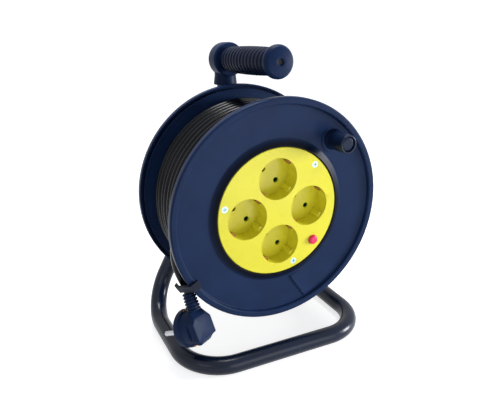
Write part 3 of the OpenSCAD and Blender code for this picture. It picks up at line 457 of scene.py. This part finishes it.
def boot_profile(ribs=5, length=17.0):
    """r = 5.05 + 0.85 s for s from 0 to 1, with ribs 1.15 mm high and flat on top."""
    s = np.linspace(0, 1, 120)
    wave = 0.5 + 0.5 * np.cos(TURN * (s * (ribs + 0.5) - 0.25))
    r = 5.05 + 0.85 * s + 1.15 * smooth(wave * 1.7 - 0.3)
    return np.concatenate([[[0, 0]], np.stack([r, -length * s], 1), [[0, -length]]])


boot = hung(turned(boot_profile(), axis=(0, 0, 1), sides=40))
dressed(surface("cable_boot", boot, closed=False), "stand", "plug_rubber", "plug_boot")
face = rounded([(0, 2), (17, 2), (17, 10.6), (18.7, 11), (18.7, 17), (0, 17)], 0.9, ends=True)
dressed(surface("plug_disc", hung(turned(face, origin=middle, sides=72)), closed=False),
        "stand", "plug_rubber", "plug_body")

# %% [markdown]

# %% [markdown]
# ## Wound cable
#
# The drum holds several layers of cable, and only the outer one shows. Separate rings would look
# alike from afar, but a real winding climbs along the drum and its end comes off it. So the outer
# layer is one long tube: the angle runs on while the place along the axle falls by one pitch a
# turn, and at the very end it climbs clear of the layer and leaves at the left. Small slow waves in
# radius and place make it look wound by hand.

# %% Outer layer
PITCH, WIND_R, LEAVE_R, FRONT_Y = 8.5, 93.8, 102.0, 14.4
TURNS, CLIMB_FROM, POINTS_A_TURN = 209 / 24, 0.068, 90
left = np.linspace(TURNS, 0, int(TURNS * POINTS_A_TURN))
angle = math.pi - left * TURN
calm = smooth(left * 4 - 0.4) * smooth((TURNS - left) * 4)
climb = (LEAVE_R - WIND_R) * smooth(1 - left / CLIMB_FROM)
wind_r = WIND_R + climb + 0.22 * calm * np.sin(left * 9.1)
wind_y = FRONT_Y + left * PITCH + 0.16 * calm * np.sin(left * 5.3 + 1) * np.cos(left * 11.7)
wound = np.stack([wind_r * np.cos(angle), wind_y, wind_r * np.sin(angle)], 1)
stub = 2 * CABLE_R
first = wound[0] - stub * np.array([-math.sin(angle[0]), 0, math.cos(angle[0])])
wound = np.concatenate([[first], wound, [wound[-1] - [0, 0, stub]]])
dressed(surface("wound_cable", drawn(wound, CABLE_R, AXLE, 18), closed=False),
        "drum", "cable_sheath", "cable_winding")

# %% [markdown]
# The layers below are only glimpsed between the turns. A turned surface with one round ridge for
# each turn is enough for them, and it lies in the turns' own rhythm.

# %% Layers below
WEB_FRONT, WEB_REAR, BARREL_R, LAYER_R = 10.4, 92.6, 62.4, 85.3
along = np.linspace(WEB_FRONT, WEB_REAR, 400)
ridge = (along - FRONT_Y + PITCH / 2) % PITCH - PITCH / 2
layer_r = LAYER_R + np.sqrt(np.maximum(CABLE_R ** 2 - ridge ** 2, 0.4))
layers = np.concatenate([[[BARREL_R, WEB_FRONT]], np.stack([layer_r, along], 1),
                         [[BARREL_R, WEB_REAR]]])
dressed(surface("inner_layers", turned(layers, sides=120)), "drum", "cable_sheath", "cable_core")

# %% [markdown]
# ## Flanges
#
# A flange is a moulded plate: a bead at the rim with a shallow groove in it, a web that dishes
# towards the hub, and on the front one a sloping ring round the sockets. One turned profile gives
# all of that, and the rounding formula eases its edges with fewer faces than a Bevel modifier. A
# faint step runs across the lower front web: it starts sharply on one side and fades away on the
# other, as an exponential does.

# %% Front flange
BEAD = [(103, 4), (103.2, 1.4), (104.2, 0), (109, 0), (110, 1.3), (110, 7), (107.8, 7),
        (107.8, 2.5), (105.4, 2.5), (105.4, 7), (103, 7)]
web_r = np.linspace(74, 100.5, 11)
web_rows = np.stack([web_r, 7 - 3 * (web_r - 71.6) / 31.4], 1)
front = rounded([(71.6, 7), *web_rows, *BEAD, (71.6, 10), (56.2, 10), (56.2, 7), (64.1, 7),
                 (64.1, 3.5), (65.2, 3.5)], 0.7)
grid = turned(front, sides=360)
STEP_FROM, STEP_TO = np.array([13.7, -70.5]), np.array([34.8, -103.0])
STEP_HIGH, STEP_FADE = 1.6, 14
x, y, z = np.moveaxis(grid, -1, 0)
run = unit(STEP_TO - STEP_FROM)
off = (x - STEP_FROM[0]) * -run[1] + (z - STEP_FROM[1]) * run[0]
radius = np.hypot(x, z)
web = smooth((radius - 72) / 3) * smooth((102.5 - radius) / 2) * (z < 0) * (y < 7.2)
grid[..., 1] -= STEP_HIGH * web * (off > 0) * np.exp(-np.maximum(off, 0) / STEP_FADE)
disc = dressed(surface("front_disc", grid, sharp=30), "drum", "drum_plastic", "front_flange")
# The front disc takes the finish with painted shade round the sockets.
disc.data.materials[0] = front_plastic_painted_shade

# %% Boss of the knob
KNOB_X, KNOB_Z = 58.749, 65.247
boss = rounded([(3.1, 4.9), (13, 4.9), (13, 8.0), (3.1, 8.0)], 0.7)
dressed(surface("knob_boss", turned(boss, origin=(KNOB_X, 0, KNOB_Z), sides=64)),
        "drum", "drum_plastic", "front_flange")

# %% Rear flange
RIM_TO_RIM = 103
rear = rounded([(71.6, 7), *BEAD, (71.6, 10), (10.5, 10), (10.5, 7)], 0.7)
rear = [0, RIM_TO_RIM] + rear * [1, -1]
hub = rounded([(10.5, 56), (14.0, 56), (14.0, 109.4), (10.5, 109.4)], 0.4)
dressed(surface("rear_disc", turned(rear, sides=180), turned(hub, sides=64), sharp=30),
        "drum", "drum_plastic", "rear_flange")

# %% [markdown]
# Six ribs stiffen the rear web. They are straight bars, so a slab with round edges makes them: an
# outline carried along the axle, which draws in at both ends.


# %% Ribs of the rear flange
def slab(outline, low, high, edge, steps=4):
    """Outline (x, z) carried from low to high along y. At each end it draws in by edge (1 - cos a)
    while it goes on by edge sin a, so its edges are round."""
    o = np.asarray(outline, float)
    along_edge = unit(np.roll(o, -1, 0) - np.roll(o, 1, 0))
    inward = np.stack([-along_edge[:, 1], along_edge[:, 0]], 1)
    a = np.linspace(0, math.pi / 2, steps)
    inset = edge * np.concatenate([1 - np.sin(a), 1 - np.cos(a)])
    depth = np.concatenate([low + edge * (1 - np.cos(a)), high - edge * (1 - np.sin(a))])
    return lofted([o + k * inward for k in inset], depth)


RIB = [(13.5, -1.25), (58.5, -1.25), (58.5, 1.25), (13.5, 1.25)]
ribs = []
for a in np.radians(np.arange(0, 360, 60)):
    u, v = np.array([math.cos(a), math.sin(a)]), np.array([-math.sin(a), math.cos(a)])
    ribs.append(slab(rounded([p * u + q * v for p, q in RIB], 0.5, 3), 95.6, 98.5, 0.5))
dressed(surface("rear_ribs", *ribs, closed=False, sharp=50), "drum", "drum_plastic", "rear_flange")

# %% [markdown]
# ## Softened copies
#
# The socket plate, the bracket and the clip have outlines that no short formula gives, and their
# solids are right already, apart from their knife edges. A copy of each gets its loose triangles
# merged, its flat faces joined and its edges rounded by a Bevel modifier, so that they catch the
# light as moulded plastic does.


# %% Rounded copies of solids
def softened(name, node, width, body, slot, sharp=35):
    """Copy of a solid with merged points, flat faces dissolved and edges bevelled by width mm."""
    mesh = nodes[node].data.copy()
    mesh.materials.clear()
    work = bmesh.new()
    work.from_mesh(mesh)
    bmesh.ops.remove_doubles(work, verts=work.verts, dist=SAME_POINT / 2)
    bmesh.ops.dissolve_limit(work, angle_limit=math.radians(0.5), verts=work.verts,
                             edges=work.edges)
    work.to_mesh(mesh)
    work.free()
    mesh.shade_smooth()
    mesh.set_sharp_from_angle(angle=math.radians(sharp))
    piece = bpy.data.objects.new(name, mesh)
    scene.collection.objects.link(piece)
    round_off = piece.modifiers.new("edge", "BEVEL")
    round_off.width = width / 1000
    round_off.segments = 2
    round_off.limit_method = "ANGLE"
    round_off.angle_limit = math.radians(40)
    round_off.harden_normals = True
    return dressed(piece, body, slot, node)


softened("socket_face", "socket_plate", 0.35, "drum", "plate_yellow")
softened("bracket_shell_front", "bracket_front", 0.8, "stand", "bracket_plastic")
softened("bracket_shell_rear", "bracket_rear", 0.8, "stand", "bracket_plastic")
softened("rim_clip", "cable_clip", 0.4, "drum", "clip_plastic")

# %% [markdown]
# ## Winding knob and reset button
#
# The knob is a slim cone with a rounded rim and a sunk cap, and the button is a low domed stud
# whose flange keeps it behind the plate. Both could be bevelled cylinders, but a turned profile
# also gives the taper and the hollow end. Each rides on its own body because each moves.

# %% Knob and its cap
KNOB_END = -20.0
knob = rounded([(3.1, KNOB_END + 7.7), (6.2, KNOB_END + 7.7), (6.2, KNOB_END + 2.8),
                (6.95, KNOB_END + 2.8), (6.95, KNOB_END + 0.7), (7.6, KNOB_END),
                (8.75, KNOB_END + 0.6), (8.9, KNOB_END + 3), (9.4, 1.6), (10.15, 3.1),
                (10.15, 4.6), (3.1, 4.6)], 0.8)
dressed(surface("winding_knob", turned(knob, origin=(KNOB_X, 0, KNOB_Z), sides=64)),
        "knob", "knob_plastic", "knob")
cap = rounded([(0, KNOB_END + 1.0), (5.2, KNOB_END + 1.25), (6.85, KNOB_END + 2.0),
               (6.85, KNOB_END + 2.8), (6.1, KNOB_END + 2.8), (6.1, KNOB_END + 5),
               (0, KNOB_END + 5)], 0.5, ends=True)
dressed(surface("knob_end_cap", turned(cap, origin=(KNOB_X, 0, KNOB_Z), sides=48), closed=False),
        "knob", "knob_plastic", "knob_cap")

# %% Reset button
BUTTON_R, BUTTON_ANGLE = 53, math.radians(-42)
BUTTON = BUTTON_R * np.array([math.cos(BUTTON_ANGLE), 0, math.sin(BUTTON_ANGLE)])
stud = rounded([(0, 0.5), (3.4, 0.7), (4.7, 2.0), (4.7, 7.2), (5.8, 7.2), (5.8, 8.2), (2.5, 8.2),
                (2.5, 16), (0, 16)], 0.8, ends=True)
dressed(surface("reset_stud", turned(stud, origin=BUTTON, sides=48), closed=False),
        "button", "button_red", "reset_button")

# %% [markdown]
# The button's spring is a helix, and it is pressed together when the button goes in. Here it is a
# rigid coil that rides on the drum, with a mesh of its own.

# %% Return spring
COIL_R, WIRE_R, COIL_PITCH, COIL_TURNS = 3.1, 0.33, 1.24, 5
turns = np.linspace(0, COIL_TURNS, 48 * COIL_TURNS + 1)
coil = BUTTON + np.stack([COIL_R * np.cos(turns * TURN), 8.6 + turns * COIL_PITCH,
                          COIL_R * np.sin(turns * TURN)], 1)
spring = dressed(surface("return_spring", drawn(coil, WIRE_R, AXLE, 10), closed=False),
                 "drum", "axle_steel", "button_spring")
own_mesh(spring)

# %% [markdown]
# ## Stand
#
# The stand is one steel tube that is bent four times: round the two front corners, and up into the
# two legs. A curve through a few points would wander in the bends, so the right half of the route
# is two true quarter circles with straight runs between them, and the left half is its mirror
# image.

# %% Route of the tube
LEG = math.atan2(149, 79.2)
BEND, TUBE_R, LEG_TOP = 45, 9.0, 8
SIDE, LOW = 99, TUBE_R - AXLE_Z
leg_way = np.array([-math.cos(LEG), 0, math.sin(LEG)])
quarter = np.linspace(0, math.pi / 2, 25)[:, None]
corner = (np.array([SIDE - BEND, 29, LOW])
          + BEND * (np.cos(quarter) * [0, -1, 0] + np.sin(quarter) * [1, 0, 0]))
heel = np.array([SIDE, 82, LOW]) + BEND * leg_way
rise = heel + BEND * (np.cos(quarter) * -leg_way + np.sin(quarter) * [0, 1, 0])
leg_end = rise[-1] + leg_way * (LEG_TOP - rise[-1, 2]) / leg_way[2]
level = np.linspace([SIDE, 29, LOW], [SIDE, 82, LOW], 6)[1:-1]
half = np.concatenate([np.linspace([0, 29 - BEND, LOW], corner[0], 6)[:-1], corner, level, rise,
                       np.linspace(rise[-1], leg_end, 8)[1:]])
route = np.concatenate([(half * [-1, 1, 1])[:0:-1], half])
print("tube route", np.linalg.norm(np.diff(route, axis=0), axis=1).sum().round(1), "mm")

# %% Bent tube
dressed(surface("bent_tube", drawn(route, TUBE_R, (0, 0, 1), 48), closed=False, sharp=60),
        "stand", "tube_paint", "base_frame")

# %% [markdown]
# ## Handle
#
# The handle leans a little upwards to the front. Its collar clamps over the post with a short
# flared socket, and a core runs from it through the grip. All three are turned, two of them about
# the handle's own line.

# %% Collar, socket and core
HANDLE = np.array([0, 124, 132.4])
rise_angle = math.radians(3.25)
forward = np.array([0, -math.cos(rise_angle), math.sin(rise_angle)])
collar = rounded([(0, -9.5), (17.5, -9.5), (17.5, 9.5), (0, 9.5)], [0, 4.5, 2.5, 0], 8, ends=True)
socket = rounded([(0, 130), (12.2, 130), (11.4, 116), (12.4, 107.6), (12.4, 106.4), (9.1, 106.4),
                  (9.1, 125), (0, 125)], 1.2, ends=True)
core = rounded([(0, 9), (7, 9), (7, 113), (2.1, 113), (2.1, 90), (0, 90)], 0.4, ends=True)
dressed(surface("handle_collar", turned(collar, HANDLE, forward, 72),
                turned(socket, (0, 127, 0), (0, 0, 1), 64), turned(core, HANDLE, forward, 32),
                closed=False), "stand", "handle_plastic", "handle_core")

# %% [markdown]
# The grip is a rubber sleeve, thickest near its middle, with a ridge every 6.8 mm and a plain band
# at each end. The ridges could be thirteen rings, but as a wave in one profile they stay part of
# one closed skin. The cap is a shallow dome with the screw's hole.

# %% Ribbed grip
GRIP_FROM, GRIP_LONG, RIB_EVERY, RIBS = 9.6, 98.8, 6.8, 13
s = np.linspace(0, GRIP_LONG, 700)
body_r = 12.65 - 1.6 * ((s / GRIP_LONG - 0.45) / 0.55) ** 2
phase = (s - (GRIP_LONG - (RIBS - 1) * RIB_EVERY) / 2) / RIB_EVERY
near = np.abs(phase - np.clip(np.round(phase), 0, RIBS - 1))
grip_r = body_r + 0.9 * smooth((0.36 - near) / 0.16)
sleeve = np.concatenate([[[7.05, 0]], np.stack([grip_r, s], 1), [[7.05, GRIP_LONG]]])
sleeve[:, 1] += GRIP_FROM
dressed(surface("ribbed_grip", turned(sleeve, HANDLE, forward, 72), sharp=60),
        "stand", "grip_rubber", "grip_sleeve")

# %% End cap
at = GRIP_FROM + GRIP_LONG + 0.1
dome = rounded([(2.0, at), (13, at), (15, at + 1.5), (15, at + 5.2), (12.6, at + 7.9),
                (5.5, at + 8.95), (2.9, at + 8.95), (2.9, at + 5.9), (2.0, at + 5.9)], 1.0)
dressed(surface("grip_end_cap", turned(dome, HANDLE, forward, 72)),
        "stand", "handle_plastic", "grip_cap")

# %% [markdown]
# ## Floor, light and background
#
# A plain pale floor under soft light: the key lamp stands low at the right in front, a weak one at
# the left, one above and a small one close to the floor, and the sky is even. The background is
# white because of its own colour and not because of more light. It is white only to rays that come
# from the camera, a mirror or glass, so it adds no light to the reel, and the floor keeps a soft
# shadow.



# %% White only where it is seen
def seen_directly(tree):
    """1 for a ray from the camera, a glossy surface or glass, and 0 for any other."""
    rays = added(tree, "LightPath")
    total = rays.outputs["Is Camera Ray"]
    for kind in ("Is Glossy Ray", "Is Transmission Ray"):
        plus = added(tree, "Math", "ADD")
        plus.use_clamp = True
        tree.links.new(total, plus.inputs[0])
        tree.links.new(rays.outputs[kind], plus.inputs[1])
        total = plus.outputs[0]
    return total


def chosen(tree, hidden, shown):
    """Shader `shown` where seen_directly is 1, and `hidden` elsewhere."""
    choice = added(tree, "MixShader")
    tree.links.new(seen_directly(tree), choice.inputs[0])
    tree.links.new(hidden.outputs[0], choice.inputs[1])
    tree.links.new(shown.outputs[0], choice.inputs[2])
    return choice


print("background helpers ready")

# %% Sky
world = bpy.data.worlds.new("sky")
world.use_nodes = True
scene.world = world
sky = world.node_tree
plain = sky.nodes["Background"]
plain.inputs["Color"].default_value = (0.93, 0.96, 1.0, 1)
plain.inputs["Strength"].default_value = 0.32
white = added(sky, "Background", Color=(1, 1, 1, 1))
sky.links.new(chosen(sky, plain, white).outputs[0], sky.nodes["World Output"].inputs["Surface"])
print("sky ready")

# %% [markdown]
# The floor is matt, so that the reel's shadow falls on it, and a glow that only direct rays see
# makes it white. The glow grows a little with the distance, which keeps the far floor as white as
# the sky, and the shadow near the stand soft and clear.

# %% Finish of the floor
paper = bpy.data.materials.new("white_floor")
paper.use_nodes = True
sheet = paper.node_tree
matt = sheet.nodes["Principled BSDF"]
for key, value in {"Base Color": (0.6, 0.6, 0.6, 1), "Roughness": 1.0,
                   "Specular IOR Level": 0.0}.items():
    matt.inputs[key].default_value = value
spot = added(sheet, "TexCoord")
reach = added(sheet, "VectorMath", "LENGTH")
spread = added(sheet, "MapRange", From_Min=0.25, From_Max=1.0, To_Min=0.76, To_Max=0.9)
glow = added(sheet, "Emission")
nothing = added(sheet, "Emission", Strength=0.0)
sheet.links.new(spot.outputs["Object"], reach.inputs[0])
sheet.links.new(reach.outputs["Value"], spread.inputs["Value"])
sheet.links.new(spread.outputs["Result"], glow.inputs["Strength"])
total = added(sheet, "AddShader")
sheet.links.new(matt.outputs[0], total.inputs[0])
sheet.links.new(chosen(sheet, nothing, glow).outputs[0], total.inputs[1])
sheet.links.new(total.outputs[0], sheet.nodes["Material Output"].inputs["Surface"])
print("floor finish", paper.name)

# %% Floor
ground = bpy.data.meshes.new("floor")
FLOOR_HALF, FLOOR_Z = 6, -0.0005
ground.from_pydata([(FLOOR_HALF * i, FLOOR_HALF * j, FLOOR_Z)
                    for i, j in ((-1, -1), (1, -1), (1, 1), (-1, 1))], [], [(0, 1, 2, 3)])
ground.materials.append(paper)
floor = bpy.data.objects.new("floor", ground)
scene.collection.objects.link(floor)
print("floor", floor.dimensions[:2])


# %% Lamps
def lamp(name, place, target, size, power, colour=(1, 1, 1)):
    """Square area lamp at place, facing target."""
    data = bpy.data.lights.new(name, "AREA")
    data.size, data.energy, data.color = size, power, colour
    thing = bpy.data.objects.new(name, data)
    scene.collection.objects.link(thing)
    thing.location = place
    way = np.asarray(target, float) - np.asarray(place, float)
    thing.rotation_euler = (math.atan2(math.hypot(way[0], way[1]), -way[2]), 0,
                            math.atan2(-way[0], way[1]))
    print(name, place, power)


lamp("key", (1.25, -0.62, 0.28), (0, -0.05, 0.15), 0.4, 20)
lamp("fill", (-0.9, -0.6, 0.5), (0, 0, 0.12), 0.5, 1.0, (0.82, 0.88, 1.0))
lamp("top", (0.1, 0.1, 1.1), (0, 0, 0.12), 0.4, 10)
lamp("low", (0.1, -0.45, 0.04), (0.02, -0.05, 0.05), 0.35, 0.9)
scene.view_settings.view_transform = "Standard"
print("stage ready")
